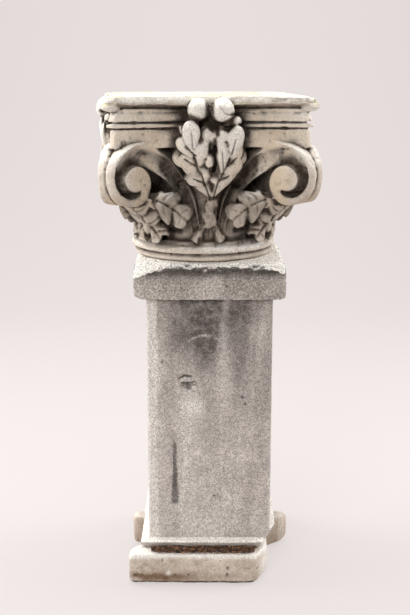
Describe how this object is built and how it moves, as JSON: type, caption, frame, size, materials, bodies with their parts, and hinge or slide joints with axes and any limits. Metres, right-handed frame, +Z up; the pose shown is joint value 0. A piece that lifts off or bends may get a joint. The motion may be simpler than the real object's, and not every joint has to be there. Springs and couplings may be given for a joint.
{
  "type": "carved corinthian capital on a square stone pillar",
  "caption": "Weathered corinthian capital with corner volutes and an oak branch on each face, on a square stone pillar with broken footing stones.",
  "frame": {"origin": "on the ground, at the centre of the capital's plan", "axes": "+Z up; -Y is the front, where the turned capital's face and the pillar's face look; +X to the right seen from the front"},
  "size_m": [0.5314, 0.5314, 1.135],
  "materials": {
    "capital_limestone": "carved, weathered, warm pale limestone with dark dirt in the hollows",
    "pillar_stone": "bush-hammered, weathered grey",
    "footing_stone": "rough, broken and stained"
  },
  "bodies": {
    "root": {"capital": "capital_limestone", "cap_slab": "pillar_stone", "shaft": "pillar_stone", "front_footing_stone": "footing_stone", "rear_footing_stone": "footing_stone"}
  },
  "joints": []
}
